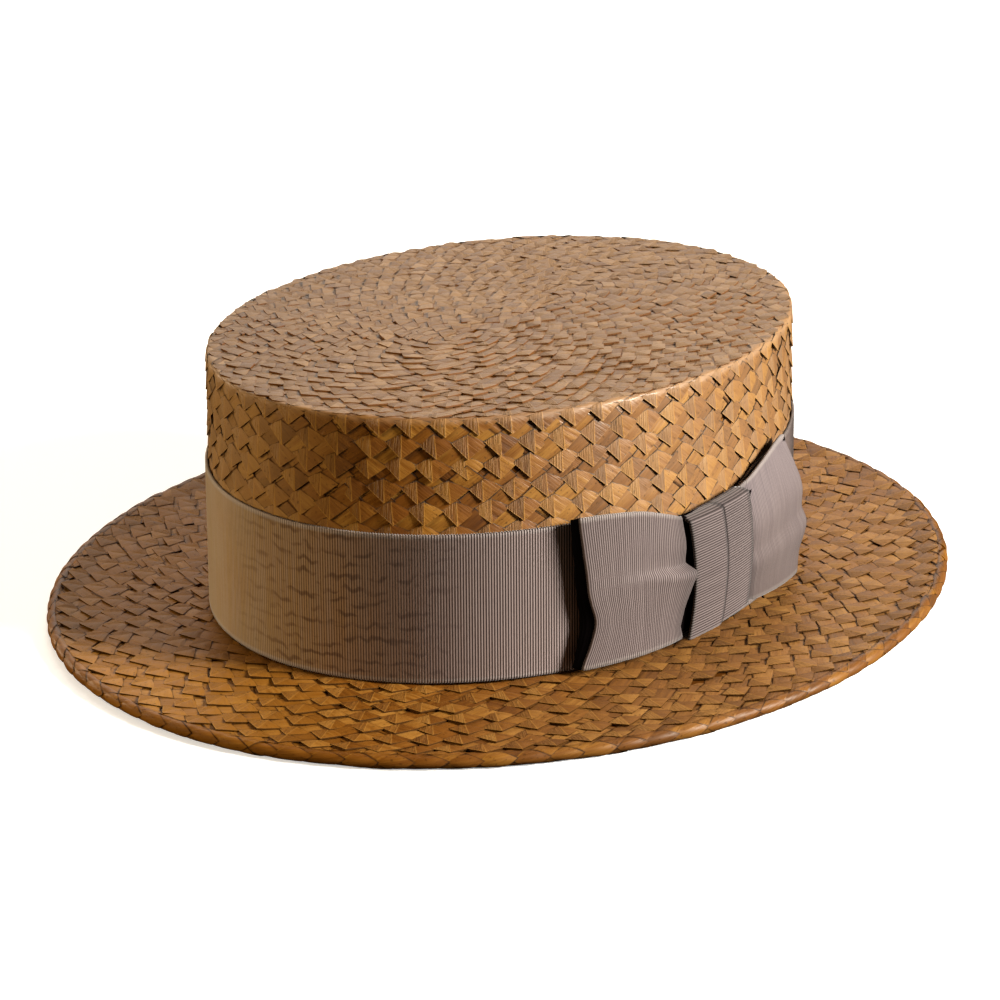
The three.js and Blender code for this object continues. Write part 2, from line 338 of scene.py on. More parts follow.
def ribbon_material(name, staining):
    """Grosgrain: painted sheen on rib backs, painted shade in grooves, worn light edges and tan water
    stains.
    """
    material, g = new_material(name)
    rib, up, _ = g.parts(g.node("ShaderNodeUVMap", {"uv_map": "rib"})["UV"])
    where = g.node("ShaderNodeTexCoord")["Object"]
    _, _, z = g.parts(where)
    stain = g.attribute("stain")
    shade = g.attribute("shade")
    # How strongly the ribs get painted shade in their grooves and painted sheen on their backs
    ribbing = g.attribute("ribbing")
    cloudy = g.noise(where, 34.0, 3.0)
    blotch = (cloudy - 0.5) * 0.35
    stained = stain + blotch * stain.step(0.02, 0.2)
    ramp = g.node("ShaderNodeValToRGB", {"stops": staining}, {"Fac": stained})
    ridge = (rib.fraction() - 0.5).size() * 2
    groove = 1 - ridge.step(0.15, 0.85)
    yarn = g.noise(g.vector(rib * 1.0, up * 60), 1.0, 2.0)
    streak = g.noise(g.vector(rib * 0.9, up * 1.2), 1.0, 1.0)
    colour = g.mix(streak.step(0.3, 0.7) * 0.22, ramp["Color"], FADED_YARN)
    tide = tide_lines(g, where, rib, z)
    colour = g.mix(tide * g.attribute("tide") * 0.62, colour, WATER_MARK)
    selvage = 1 - (up * (1 - up) * 4).step(0.07, 0.15)
    colour = g.mix(selvage * 0.45, colour, WORN_EDGE)
    # Painted sheen on the rib backs, where the rib shading is strong
    rib_sheen_mask = ridge.step(0.55, 1.0) * ribbing.step(0.7, 1.2)
    colour = g.mix(rib_sheen_mask * 0.5, colour, PAINTED_RIB_SHEEN)
    # Painted shade in the grooves between ribs
    colour = g.mix(groove * ribbing * (0.75 + yarn * 0.4), colour, PAINTED_GROOVE_SHADE)
    colour = g.mix(shade, colour, FOLD_SHADE)
    height = (1 - groove) * 0.8 + yarn * 0.2
    bump = g.node("ShaderNodeBump", None, {"Strength": 0.5, "Distance": 0.2 * MM, "Height": height})
    finish_material(g, colour, 0.72 + yarn * 0.12, bump["Normal"],
                    {"Sheen Weight": 0.2, "Sheen Roughness": 0.4, "Specular IOR Level": 0.25})
    return material


def plain_material(name, colour, roughness):
    material, g = new_material(name)
    where = g.node("ShaderNodeTexCoord")["Object"]
    mottled = g.noise(where, 60.0, 2.0)
    bump = g.node("ShaderNodeBump", None, {"Strength": 0.1, "Height": mottled})
    finish_material(g, g.mix(mottled * 0.25, colour, MOTTLE), roughness - mottled * 0.1, bump["Normal"],
                    {"Specular IOR Level": 0.0})
    return material


STRAW = straw_material(
    "straw", dark=rgb(0.05, 0.012, 0.0002), middle=rgb(0.15, 0.048, 0.002),
    light=rgb(0.35, 0.165, 0.022), dull=rgb(0.18, 0.082, 0.01), slit_shade=rgb(0.018, 0.005, 0.0002),
    far_light_colour=rgb(0.24, 0.138, 0.052), smoothest=0.27, shine=1.0, sheen_amount=0.42, far_light_amount=0.68, rubbing=0.6)
# Crown top: paler, greyer straw paints the overhead light's sheen; its darker far-side colour paints shade
FLAT_STRAW = straw_material(
    "bleached_straw", dark=rgb(0.08, 0.029, 0.004), middle=rgb(0.15, 0.073, 0.022),
    light=rgb(0.24, 0.133, 0.052), dull=rgb(0.16, 0.092, 0.044), slit_shade=rgb(0.095, 0.028, 0.002),
    far_light_colour=rgb(0.075, 0.032, 0.006), smoothest=0.38, shine=0.4, sheen_amount=0.1, far_light_amount=0.45)
BRIM_STRAW = straw_material(
    "brim_straw", dark=rgb(0.066, 0.018, 0.0008), middle=rgb(0.146, 0.05, 0.0042),
    light=rgb(0.3, 0.142, 0.027), dull=rgb(0.143, 0.063, 0.012), slit_shade=rgb(0.022, 0.006, 0.0003),
    far_light_colour=rgb(0.23, 0.1, 0.012), smoothest=0.38, shine=0.15, sheen_amount=0.2, far_light_amount=0.5)
ROLLED = straw_material(
    "rolled_straw", dark=rgb(0.055, 0.016, 0.0004), middle=rgb(0.118, 0.038, 0.0025),
    light=rgb(0.215, 0.092, 0.01), dull=rgb(0.105, 0.048, 0.007), slit_shade=rgb(0.02, 0.006, 0.0003),
    far_light_colour=rgb(0.21, 0.085, 0.01), smoothest=0.34, shine=0.24, sheen_amount=0.08, far_light_amount=0.3)
RIBBON = ribbon_material("ribbon", [
    (0.0, (0.205, 0.146, 0.126)), (0.3, (0.22, 0.134, 0.094)), (0.6, (0.26, 0.146, 0.067)),
    (0.8, (0.26, 0.156, 0.066)), (1.0, (0.27, 0.188, 0.095))])
BOW = ribbon_material("bow_ribbon", [(0.0, (0.134, 0.108, 0.112)), (1.0, (0.134, 0.089, 0.07))])
# Near-black painted shade: the loops' insides and the spans of their folds that lie in shadow
SHADE = plain_material("ribbon_back", rgb(0.0015, 0.0012, 0.0015), 1.0)
BACKING = plain_material("straw_backing", rgb(0.075, 0.024, 0.003), 0.8)


# The hat's surface

def ring_points(angle, grow, z):
    """Points round the crown's foot oval: moved out along its normal, or shrunk evenly inwards."""
    inwards = np.minimum(grow, 0)
    outwards = np.maximum(grow, 0)
    c, s = np.cos(angle), np.sin(angle)
    nx, ny = c / HALF_WIDTH, s / HALF_LENGTH
    length = np.hypot(nx, ny)
    x = (HALF_WIDTH + inwards) * c + outwards * nx / length
    y = (HALF_LENGTH + inwards) * s + outwards * ny / length
    return np.stack(np.broadcast_arrays(x, y, z), -1)


def taper_at(z):
    return -CROWN_TAPER * z / CROWN_HEIGHT


class Ring:
    """Even spacing round one oval: how long it is and the angle at a fraction of the way round."""

    def __init__(self, grow):
        count = 721
        self.angles = np.linspace(-math.pi, math.pi, count)
        points = ring_points(self.angles, np.full(count, float(grow)), 0.0)
        steps = np.linalg.norm(np.diff(points, axis=0), axis=1)
        self.run = np.concatenate([[0], np.cumsum(steps)])
        self.length = self.run[-1]

    def angle(self, fraction):
        whole = np.floor(fraction)
        return np.interp((fraction - whole) * self.length, self.run, self.angles) + whole * 2 * math.pi


def over_crown(angle, down, out):
    """down is the way from the middle of the crown's round edge to its foot; out is off the surface.

    Rows that pass the middle of the top stop a little beyond it and sink under the others.
    """
    overrun = 2
    quarter = EDGE_RADIUS * math.pi / 2
    run = down + quarter / 2
    turn = np.clip(run / EDGE_RADIUS, 0, math.pi / 2)
    top = np.minimum(run, 0)
    side = np.maximum(run - quarter, 0)
    reach = EDGE_RADIUS - PLAIT_SUNK + out
    grow = -EDGE_RADIUS - CROWN_TAPER + reach * np.sin(turn) + top + side * CROWN_TAPER / CROWN_HEIGHT
    past = np.clip(-HALF_WIDTH - grow, 0, overrun)
    z = CROWN_HEIGHT - EDGE_RADIUS + reach * np.cos(turn) - side - past * 0.15
    return ring_points(angle, np.maximum(grow, -HALF_WIDTH - overrun), z)


def over_brim(angle, down, out):
    """down is the way out from the crown's foot; out is up off the brim, which rises to meet the roll."""
    sunk = 1.0
    ramp_start, ramp_length, ramp_rise = BRIM_WIDTH - ROLL_WIDTH - 5, 7, 0.7
    rise = np.clip((down - ramp_start) / ramp_length, 0, 1)
    z = BRIM_TOP - sunk + ramp_rise * rise * rise * (3 - 2 * rise) + out
    return ring_points(angle, BAND_GAP + down, z)


def under_brim(angle, down, out):
    """down is the way in from the rolled edge; out is down off the underside."""
    sunk = 0.7
    return ring_points(angle, BRIM_WIDTH - ROLL_WIDTH - down, BRIM_UNDERSIDE + sunk - out)


def inside_crown(angle, down, out):
    """down is the way up the inside from the head opening, then in over the ceiling."""
    lift, ceiling_depth = 0.4, 2.6
    corner = CROWN_HEIGHT - ceiling_depth
    rise = np.minimum(down, corner)
    over = np.maximum(down - corner, 0)
    z = np.where(over > 0, corner - out + lift, rise)
    grow = -CROWN_WALL - CROWN_TAPER * rise / CROWN_HEIGHT - over - np.where(over > 0, 0, out - lift)
    return ring_points(angle, np.maximum(grow, -HALF_WIDTH + 0.3), z)


# One unit of straw plait

class Patches:
    """Collects small curved patches, each a strand's face, with its fibre direction and kind."""

    def __init__(self, rng, wobble):
        self.rng = rng
        self.wobble = wobble
        self.points = []
        self.faces = []
        self.fibre = []
        self.strand = []
        self.kinds = []
        self.corners = {}

    def placed(self, corner):
        """A shifted corner, the same in every patch that uses it; a pair of corners means their middle."""
        if len(corner) == 2:
            return (self.placed(corner[0]) + self.placed(corner[1])) / 2
        if corner not in self.corners:
            w = self.wobble
            shift = [self.rng.uniform(-w, w), self.rng.uniform(-w, w), self.rng.uniform(-w, w) * 0.35]
            self.corners[corner] = np.array(corner) + shift
        return self.corners[corner]

    def face(self, keys, places, kind, cos, sin):
        self.faces.append(keys)
        spots = [self.points[k] for k in keys]
        self.fibre.append([(p[1] * cos - p[0] * sin + kind * 17.3, p[0] * cos + p[1] * sin) for p in spots])
        self.strand.append(places)
        self.kinds.append(kind)

    def add(self, corners, counts, kind, fibre_angle, dome, skirts="", drop=0.0):
        """corners run anticlockwise; dome swells the patch; skirts names sides with a turned-down edge."""
        a, b, c, d = (self.placed(k) for k in corners)
        columns, rows = counts
        cos, sin = math.cos(math.radians(fibre_angle)), math.sin(math.radians(fibre_angle))
        where = {}
        for i in range(columns + 1):
            for j in range(rows + 1):
                s, t = i / columns, j / rows
                p = (1 - s) * (1 - t) * a + s * (1 - t) * b + s * t * c + (1 - s) * t * d
                where[i, j] = len(self.points)
                self.points.append(p + [0, 0, dome * 16 * s * (1 - s) * t * (1 - t)])
        for i in range(columns):
            for j in range(rows):
                keys = [where[i, j], where[i + 1, j], where[i + 1, j + 1], where[i, j + 1]]
                places = [((i + p) / columns, (j + q) / rows) for p, q in ((0, 0), (1, 0), (1, 1), (0, 1))]
                self.face(keys, places, kind, cos, sin)
        edges = {
            "low": [(i, 0) for i in range(columns + 1)],
            "right": [(columns, j) for j in range(rows + 1)],
            "left": [(0, j) for j in range(rows, -1, -1)],
        }
        for name in skirts.split():
            top = [self.points[where[k]] for k in edges[name]]
            first = len(self.points)
            self.points += top + [point - [0, 0, drop] for point in top]
            for n in range(first, first + len(top) - 1):
                keys = [n, n + len(top), n + len(top) + 1, n + 1]
                self.face(keys, [(-1.0, -1.0)] * 4, kind, cos, sin)

    def mesh(self, name):
        mesh = bpy.data.meshes.new(name)
        mesh.from_pydata([tuple(p * MM) for p in self.points], [], self.faces)
        for label, table in (("fibre", self.fibre), ("strand", self.strand)):
            layer = mesh.uv_layers.new(name=label)
            layer.data.foreach_set("uv", [v for face in table for pair in face for v in pair])
        kinds = mesh.attributes.new("kind", "FLOAT", "FACE")
        kinds.data.foreach_set("value", self.kinds)
        mesh.polygons.foreach_set("use_smooth", [True] * len(self.faces))
        mesh.update()
        return mesh


def plait_unit(name, seed, pitch, relief, lap, wobble, swell):
    """A folded lozenge at the row's lower edge, under a rising strand and a falling strand."""
    patches = Patches(random.Random(seed), wobble)
    low = -3.7

    def at(u, v, h):
        """The row leans out towards its lower edge, over the next row."""
        return (u, v, h * relief + lap * (1 - (v - low) / (pitch - low)))

    west, east = at(-5.1, 0.7, 0.3), at(6.0, 0.3, 0.4)
    north, south = at(0.0, 3.4, 0.8), at(0.2, -4.0, 1.35)
    rising = (at(4.3, -0.9, 0.1), at(10.4, 3.2, 0.25), at(5.3, 7.5, 0.6), at(-0.4, 2.9, 0.45))
    falling = (at(0.2, 1.4, 0.0), at(7.2, 6.6, 0.05), at(0.4, 11.8, 0.0), at(-6.7, 6.6, 0.05))
    patches.add((south, north, (north, west), west), (4, 4), BACK, 88, 0.2 * swell, "left", 0.6)
    patches.add((south, east, (north, east), north), (4, 4), FACE, -38, 0.3 * swell, "low", 0.6)
    patches.add(rising, (4, 4), RISING, 36, 0.4 * swell, "right", 0.4)
    patches.add(falling, (2, 2), FALLING, -38, 0.2 * swell)
    return patches.mesh(name)


def roll_unit(name, seed, wobble):
    """One swelling strand of the last row, lying along the brim's edge, over two crossing ones."""
    patches = Patches(random.Random(seed), wobble)
    along = ((-5.6, -0.3, 0.05), (0.5, -4.3, 0.1), (5.9, 0.3, 0.22), (-0.5, 4.3, 0.1))
    above = ((-0.5, 4.0, 0.1), (5.3, -0.2, 0.0), (10.4, 4.2, 0.15), (4.8, 8.2, 0.0))
    below = ((-0.2, -4.2, 0.0), (4.8, -8.2, 0.0), (10.2, -4.2, 0.15), (5.3, 0.2, 0.1))
    patches.add(along, (6, 6), FACE, 12, 0.32, "low right", 0.3)
    patches.add(above, (4, 4), RISING, 40, 0.15)
    patches.add(below, (4, 4), RISING, -40, 0.15)
    return patches.mesh(name)


def unit_collection(name, first_seed, make, **sizes):
    """The variants of one unit, each from its own seed."""
    collection = bpy.data.collections.new(name + "s")
    for n in range(UNIT_VARIANTS):
        mesh = make(f"{name}_{n}", first_seed + n, **sizes)
        collection.objects.link(bpy.data.objects.new(mesh.name, mesh))
    return collection


# Rows of plait by geometry nodes

def field_tree(name):
    """Tree that lays plait units along the guide lines, one per spacing, shuffled and slightly askew."""
    tree = bpy.data.node_groups.new(name, "GeometryNodeTree")
    face = tree.interface
    face.new_socket("Geometry", in_out="INPUT", socket_type="NodeSocketGeometry")
    inputs = {"Spacing": "Float", "Units": "Collection", "Askew": "Float", "Slip": "Float", "Seed": "Int",
              "Material": "Material"}
    for label, kind in inputs.items():
        face.new_socket(label, in_out="INPUT", socket_type="NodeSocket" + kind)
    face.new_socket("Geometry", in_out="OUTPUT", socket_type="NodeSocketGeometry")
    g = Graph(tree)
    given = g.node("NodeGroupInput")
    lines = g.node("GeometryNodeMeshToCurve", None, {"Mesh": given["Geometry"]})
    places = g.node("GeometryNodeResampleCurve", {"mode": "LENGTH"},
                    {"Curve": lines["Curve"], "Length": given["Spacing"]})
    points = g.node("GeometryNodeCurveToPoints", {"mode": "EVALUATED"}, {"Curve": places["Curve"]})
    units = g.node("GeometryNodeCollectionInfo", {"transform_space": "ORIGINAL"},
                   {"Collection": given["Units"], "Separate Children": True, "Reset Children": True})

    # Random Value gives each kind of data the same socket names, so its sockets are picked by number
    def random_vector(limit, seed):
        low = g.node("ShaderNodeVectorMath", {"operation": "SCALE"}, {0: (-1, -1, -1), "Scale": limit})
        high = g.node("ShaderNodeVectorMath", {"operation": "SCALE"}, {0: (1, 1, 1), "Scale": limit})
        node = g.node("FunctionNodeRandomValue", {"data_type": "FLOAT_VECTOR"},
                      {0: low["Vector"], 1: high["Vector"], "Seed": seed})
        return Value(g, node.node.outputs[0])

    which = g.node("FunctionNodeRandomValue", {"data_type": "INT"}, {
        4: 0, 5: UNIT_VARIANTS - 1, "Seed": given["Seed"]})
    laid = g.node("GeometryNodeInstanceOnPoints", None, {
        "Points": points["Points"], "Instance": units["Instances"], "Pick Instance": True,
        "Instance Index": Value(g, which.node.outputs[2]), "Rotation": random_vector(given["Askew"], 3)})
    moved = g.node("GeometryNodeTranslateInstances", {}, {
        "Instances": laid["Instances"], "Translation": random_vector(given["Slip"], 7)})
    tone = g.node("FunctionNodeRandomValue", {"data_type": "FLOAT"}, {"Seed": 11})
    toned = g.node("GeometryNodeStoreNamedAttribute", {"data_type": "FLOAT", "domain": "INSTANCE"}, {
        "Geometry": moved["Instances"], "Name": "tone", "Value": Value(g, tone.node.outputs[1])})
    solid = g.node("GeometryNodeRealizeInstances", None, {"Geometry": toned["Geometry"]})
    dressed = g.node("GeometryNodeSetMaterial", None, {
        "Geometry": solid["Geometry"], "Material": given["Material"]})
    g.node("NodeGroupOutput", None, {"Geometry": dressed["Geometry"]})
    return tree


FIELD = field_tree("plait_rows")


def laid_rows(name, counts, units, material, askew, slip, seed):
    """Flat rows of plait, all on one line, with each point's row kept as an attribute.

    A guide line is a hair longer than its units, so that rounding drops none.
    """
    hair = 1e-6
    points, edges = [], []
    for count in counts:
        edges.append((len(points), len(points) + 1))
        points += [(0.0, 0.0, 0.0), ((count - 1) * UNIT * MM + hair, 0.0, 0.0)]
    guide = bpy.data.meshes.new(name + "_guide")
    guide.from_pydata(points, edges, [])
    rows = guide.attributes.new("row", "FLOAT", "POINT")
    rows.data.foreach_set("value", [float(n // 2) for n in range(len(points))])
    holder = bpy.data.objects.new(name + "_guide", guide)
    bpy.context.scene.collection.objects.link(holder)
    modifier = holder.modifiers.new("rows", "NODES")
    modifier.node_group = FIELD
    values = {"Spacing": UNIT * MM, "Units": units, "Askew": askew, "Slip": slip * MM, "Seed": seed,
              "Material": material}
    for item in FIELD.interface.items_tree:
        if item.in_out == "INPUT" and item.name in values:
            modifier[item.identifier] = values[item.name]
    evaluated = holder.evaluated_get(bpy.context.evaluated_depsgraph_get())
    mesh = bpy.data.meshes.new_from_object(evaluated)
    holder.modifiers.remove(modifier)
    bpy.data.objects.remove(holder)
    mesh.name = name
    return mesh


def coordinates(mesh):
    flat = np.empty(len(mesh.vertices) * 3)
    mesh.vertices.foreach_get("co", flat)
    return flat.reshape(-1, 3)


def attribute_values(mesh, name):
    layer = mesh.attributes[name]
    values = np.empty(len(layer.data))
    layer.data.foreach_get("value", values)
    return values


def piece_object(name, mesh):
    obj = bpy.data.objects.new(name, mesh)
    bpy.context.scene.collection.objects.link(obj)
    return obj


def trim(mesh, down, limits):
    """Cuts away what lies past the limits of a surface."""
    low, high = limits
    bm = bmesh.new()
    bm.from_mesh(mesh)
    past = (down < low) | (down > high)
    gone = [face for face in bm.faces if all(past[v.index] for v in face.verts)]
    bmesh.ops.delete(bm, geom=gone, context="FACES")
    bm.to_mesh(mesh)
    bm.free()
    mesh.update()


def plait_piece(name, rows, surface, units, material, seed, limits=(-NO_LIMIT, NO_LIMIT), askew=0.03,
                slip=0.22, scale=1.0):
    """rows holds each row's distance down the surface, the oval that spaces its units, and its relief."""
    rings = [Ring(grow) for _, grow, _ in rows]
    counts = [max(4, round(ring.length / (UNIT * scale))) for ring in rings]
    mesh = laid_rows(name, counts, units, material, askew, slip, seed)
    local = coordinates(mesh) / MM
    row = np.rint(attribute_values(mesh, "row")).astype(int)
    placed = np.zeros_like(local)
    reach = np.zeros(len(local))
    rng = random.Random(seed)
    for k, (down, _, relief) in enumerate(rows):
        chosen = row == k
        shift = rng.random()
        fraction = (local[chosen, 0] / UNIT + shift) / counts[k]
        angle = rings[k].angle(fraction)
        reach[chosen] = down - local[chosen, 1] * scale
        placed[chosen] = surface(angle, np.clip(reach[chosen], *limits), local[chosen, 2] * relief)
    mesh.vertices.foreach_set("co", (placed * MM).ravel())
    mesh.attributes.remove(mesh.attributes["row"])
    trim(mesh, reach, limits)
    return piece_object(name, mesh)


# Shells under the plait

def swept_shell(name, profile, open_ends):
    """Closed body swept round the oval: profile holds grow and z, and ends on two lids or on itself."""
    steps = 160
    angle = np.linspace(0, 2 * math.pi, steps, endpoint=False)
    rings = [ring_points(angle, np.full(steps, float(g)), float(z)) for g, z in profile]
    points = [tuple(p * MM) for ring in rings for p in ring]
    faces = []
    count = len(rings)
    for r in range(count if not open_ends else count - 1):
        n = (r + 1) % count
        for i in range(steps):
            j = (i + 1) % steps
            faces.append((r * steps + i, n * steps + i, n * steps + j, r * steps + j))
    if open_ends:
        faces.append(tuple(range(steps)))
        faces.append(tuple((count - 1) * steps + i for i in reversed(range(steps))))
    mesh = bpy.data.meshes.new(name)
    mesh.from_pydata(points, [], faces)
    mesh.materials.append(BACKING)
    mesh.update()
    return piece_object(name, mesh)


def crown_shell():
    """Thin wall and ceiling behind the plait, open below."""
    wall = 0.6
    inset = PLAIT_SUNK + 0.1
    top = CROWN_HEIGHT - inset
    middle = -HALF_WIDTH + MIDDLE_HOLE
    corner = [(-inset - CROWN_TAPER - EDGE_RADIUS * (1 - math.sin(t)),
               top - EDGE_RADIUS * (1 - math.cos(t))) for t in (0, 0.4, 0.8, 1.2, math.pi / 2)]
    outer = [(middle, top), *corner, (taper_at(BAND_TOP) - inset, BAND_TOP), (-inset, BRIM_UNDERSIDE)]
    inner = [(-inset - wall, BRIM_UNDERSIDE), (-inset - wall - CROWN_TAPER, top - wall),
             (middle, top - wall)]
    return swept_shell("crown_backing", outer + inner, True)


def brim_shell():
    inner, outer = -0.6, BRIM_WIDTH - ROLL_WIDTH
    low, high = 2.1, 2.5
    return swept_shell("brim_backing", [(inner, low), (inner, high), (outer, high), (outer, low)], False)


def roll_section(inset):
    """Middle, half width and half height of the roll's section, inside the plait that covers it."""
    taller = 0.05
    return BRIM_WIDTH - ROLL_WIDTH / 2, ROLL_WIDTH / 2 - inset, ROLL_HEIGHT / 2 - inset + taller


def roll_core():
    middle, half, rise = roll_section(0.4)
    section = [(middle + half * math.cos(t), ROLL_HEIGHT / 2 + rise * math.sin(t))
               for t in np.linspace(0, 2 * math.pi, 16, endpoint=False)]
    return swept_shell("roll_core", section[::-1], False)


# Rolled edge

def round_roll(angle, down, out):
    """down goes round the roll's section: 0 at its outermost line, negative over the top."""
    turning_radius, floor_gap = 2.35, 0.02
    middle, half, rise = roll_section(0.35)
    turn = -down / turning_radius
    grow = middle + (half + out) * np.cos(turn)
    z = ROLL_HEIGHT / 2 + (rise + out) * np.sin(turn)
    return ring_points(angle, grow, np.maximum(z, floor_gap))


# Ribbon

def smooth_rows(table, places):
    """Rows of a table read at fractional places, on a curve through its rows."""
    table = np.asarray(table, float)
    i = np.clip(np.floor(places).astype(int), 0, len(table) - 2)
    t = (places - i)[:, None]
    before, a, b, after = (table[np.clip(i + k, 0, len(table) - 1)] for k in (-1, 0, 1, 2))
    return 0.5 * (2 * a + (b - before) * t + (2 * before - 5 * a + 4 * b - after) * t**2
                  + (3 * a - before - 3 * b + after) * t**3)


def read_off(table, places):
    """Values between the rows of a table of places and values."""
    return np.interp(places, *zip(*table))


def ribbon_points(middle, closed, ripple):
    """Front and back of a ribbon wall round a grid of middle points, with a rippled front."""
    along = np.roll(middle, -1, 0) - np.roll(middle, 1, 0)
    if not closed:
        along[0], along[-1] = middle[1] - middle[0], middle[-1] - middle[-2]
    across = np.gradient(middle, axis=1)
    normal = np.cross(along, across)
    normal /= np.linalg.norm(normal, axis=2, keepdims=True) + 1e-9
    front = middle + normal * (CLOTH / 2 + ripple / 2)
    back = middle - normal * CLOTH / 2
    return np.concatenate([front.reshape(-1, 3), back.reshape(-1, 3)]) * MM


def ribbon_faces(columns, rows, closed, rib_at, up_at, dark, back_slot):
    """Faces of a ribbon wall, the rib and height of their corners, and the number of their material."""
    count = columns * rows
    c = np.arange(columns if closed else columns - 1)
    r = np.arange(rows - 1)
    i, j = (grid.ravel() for grid in np.meshgrid(c, r, indexing="ij"))

    def quads(*corners):
        """Faces from (column, row, side) corners, and the rib and height of each corner."""
        keys = np.stack([(k % columns) * rows + level + side * count for k, level, side in corners], -1)
        spots = np.stack([np.stack(np.broadcast_arrays(rib_at[k], up_at[level]), -1)
                          for k, level, side in corners], 1)
        return keys, spots

    low, high = np.zeros_like(c), np.full_like(c, rows - 1)
    parts = [
        quads((i, j, 0), (i + 1, j, 0), (i + 1, j + 1, 0), (i, j + 1, 0)),
        quads((i, j, 1), (i, j + 1, 1), (i + 1, j + 1, 1), (i + 1, j, 1)),
        quads((c, low, 0), (c, low, 1), (c + 1, low, 1), (c + 1, low, 0)),
        quads((c, high, 0), (c + 1, high, 0), (c + 1, high, 1), (c, high, 1)),
    ]
    slots = [dark[i], np.full_like(i, back_slot), dark[c], dark[c]]
    if not closed:
        first, end = np.zeros_like(r), np.full_like(r, columns - 1)
        parts.append(quads((first, r, 0), (first, r + 1, 0), (first, r + 1, 1), (first, r, 1)))
        parts.append(quads((end, r, 0), (end, r, 1), (end, r + 1, 1), (end, r + 1, 0)))
        slots += [first * 0, end * 0]
    faces, spots = (np.concatenate(each) for each in zip(*parts))
    return faces, spots, np.concatenate(slots)


def ribbon_piece(name, middle, rib_at, up_at, closed, materials, paint, rib_depth, dark=None):
    """A ribbed wall round a grid of middle points. Its back and dark columns have the last material, which
    on the loops is a near-black painted shade.
    """
    columns, rows, _ = middle.shape
    ripple = np.cos(rib_at[:columns] * 2 * math.pi)[:, None, None] * -rib_depth
    points = ribbon_points(middle, closed, ripple)
    if dark is None:
        dark = np.zeros(columns, int)
    faces, spots, slots = ribbon_faces(columns, rows, closed, rib_at, up_at, dark, len(materials) - 1)
    mesh = bpy.data.meshes.new(name)
    mesh.from_pydata(points.tolist(), [], faces.tolist())
    mesh.uv_layers.new(name="rib").data.foreach_set("uv", spots.ravel())
    for label in ("stain", "tide", "shade", "ribbing"):
        layer = mesh.attributes.new(label, "FLOAT", "POINT")
        flat = np.broadcast_to(paint.get(label, 0.0), (columns, rows)).reshape(-1)
        layer.data.foreach_set("value", np.concatenate([flat, flat]))
    for material in materials:
        mesh.materials.append(material)
    mesh.polygons.foreach_set("material_index", slots)
    mesh.polygons.foreach_set("use_smooth", [True] * len(faces))
    mesh.update()
    return piece_object(name, mesh)


# How the band has aged, and how strongly its ribs get painted shade and sheen, by degrees round the crown
# from the bow, with the wearer's front at -90
BAND_STAIN = [(-180, 0.7), (-150, 0.95), (-122, 1.0), (-96, 0.85), (-75, 0.62), (-58, 0.36), (-42, 0.14),
              (-30, 0.0), (60, 0.1), (180, 0.7)]
BAND_TIDE = [(-180, 0.0), (-102, 0.05), (-94, 0.5), (-80, 1.0), (-57, 1.0), (-46, 0.1), (180, 0.0)]
BAND_RIB_SHADING = [(-180, 0.15), (-130, 0.15), (-105, 0.4), (-80, 0.75), (-60, 0.95), (-45, 1.2), (90, 0.9),
                (180, 0.15)]
# Where the bow's loops pull the band's top down: degrees, width in degrees and depth
BAND_DIPS = [(-7, 8, 8), (5, 7, 5.5)]


def hatband():
    """Ribbon round the crown's foot, stained tan on the wearer's right, with brown tide lines in front."""
    ring = Ring(BAND_GAP)
    ribs = round(ring.length / RIB)
    columns = ribs * RIB_COLUMNS
    levels = np.array([0, 0.02, 0.05, 0.2, 0.35, 0.5, 0.65, 0.8, 0.95, 0.98, 1.0])
    fraction = np.arange(columns + 1) / columns
    angle = ring.angle(fraction[:-1])
    degrees = np.degrees(angle)
    top = BAND_TOP - sum(depth * np.exp(-((degrees - place) / width) ** 2)
                         for place, width, depth in BAND_DIPS)
    out = BAND_GAP + CLOTH / 2 + 0.1
    heights = [BAND_BOTTOM + (top - BAND_BOTTOM) * h for h in levels]
    grid = np.stack([ring_points(angle, out + taper_at(z), z) for z in heights], 1)
    scallop_depth = 0.14
    scallop = scallop_depth * np.cos(fraction[:-1] * ribs * 2 * math.pi)
    grid[:, 0, 2] += scallop
    grid[:, -1, 2] -= scallop
    stains_and_shading = {"stain": BAND_STAIN, "tide": BAND_TIDE, "ribbing": BAND_RIB_SHADING}
    paint = {label: read_off(table, degrees)[:, None] for label, table in stains_and_shading.items()}
    return ribbon_piece("ribbon_band", grid, fraction * ribs, levels, True, [RIBBON], paint, RIB_DEPTH)


# Bow: tables as stations along the ribbon, from under the knot to the fold and back

